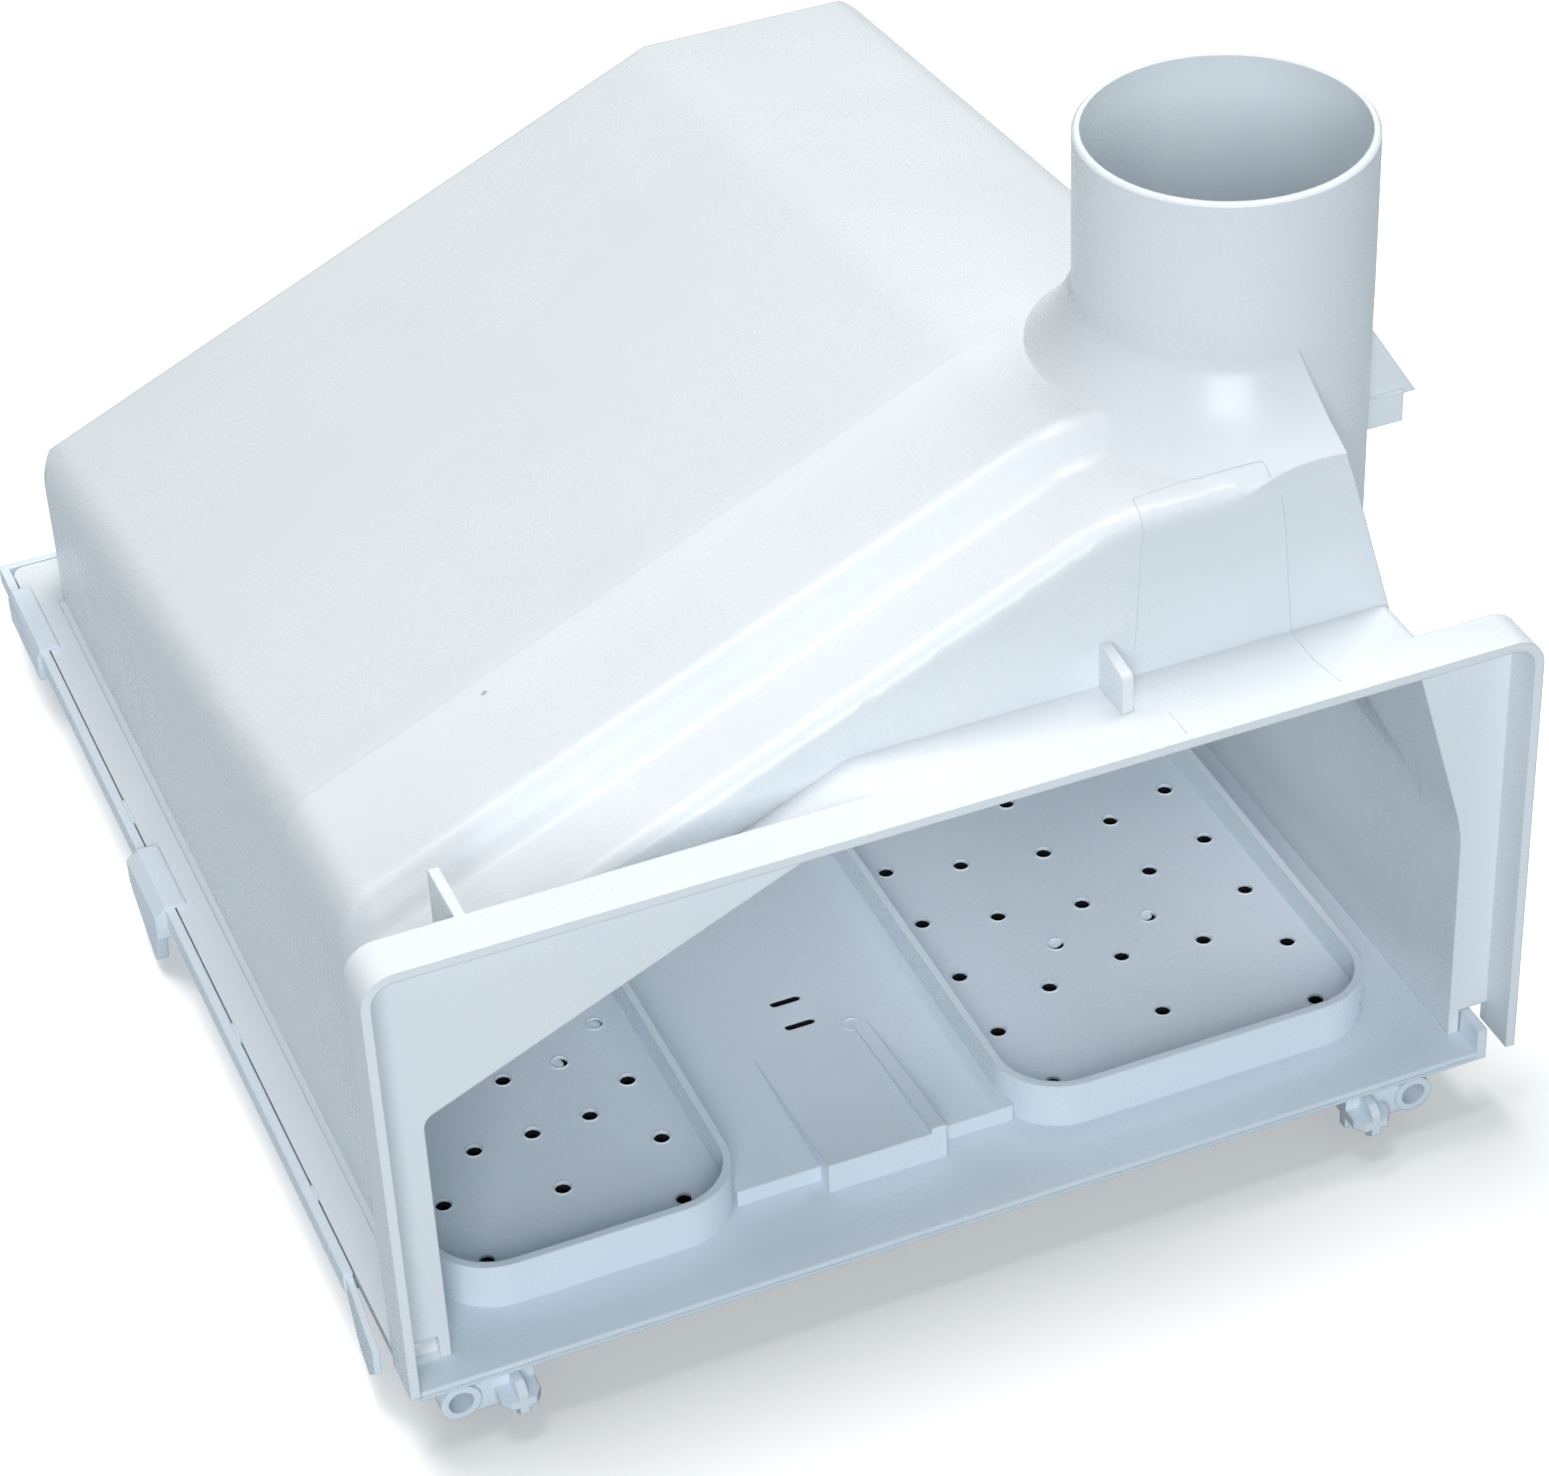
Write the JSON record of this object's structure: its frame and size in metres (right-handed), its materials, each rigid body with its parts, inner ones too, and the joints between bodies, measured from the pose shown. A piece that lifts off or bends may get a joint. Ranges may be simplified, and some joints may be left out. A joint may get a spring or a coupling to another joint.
{
  "type": "detergent dispenser housing",
  "caption": "Washing machine detergent dispenser housing: funnel body with a hooded drawer opening and a hose spigot, closed by a perforated spray plate and a water cover.",
  "frame": {"origin": "centre of the bounding box on the floor under the water cover", "axes": "+Z along the outlet spigot, which points up as the part is pictured; +Y from the drawer opening to the back; +X along the front towards the spigot's side"},
  "size_m": [0.2192, 0.2746, 0.1886],
  "materials": {
    "housing": "satin moulded",
    "spray_plate": "satin moulded",
    "distributor_cover": "satin moulded"
  },
  "bodies": {
    "root": {"housing": "housing", "spray_plate": "spray_plate", "distributor_cover": "distributor_cover"}
  },
  "joints": []
}
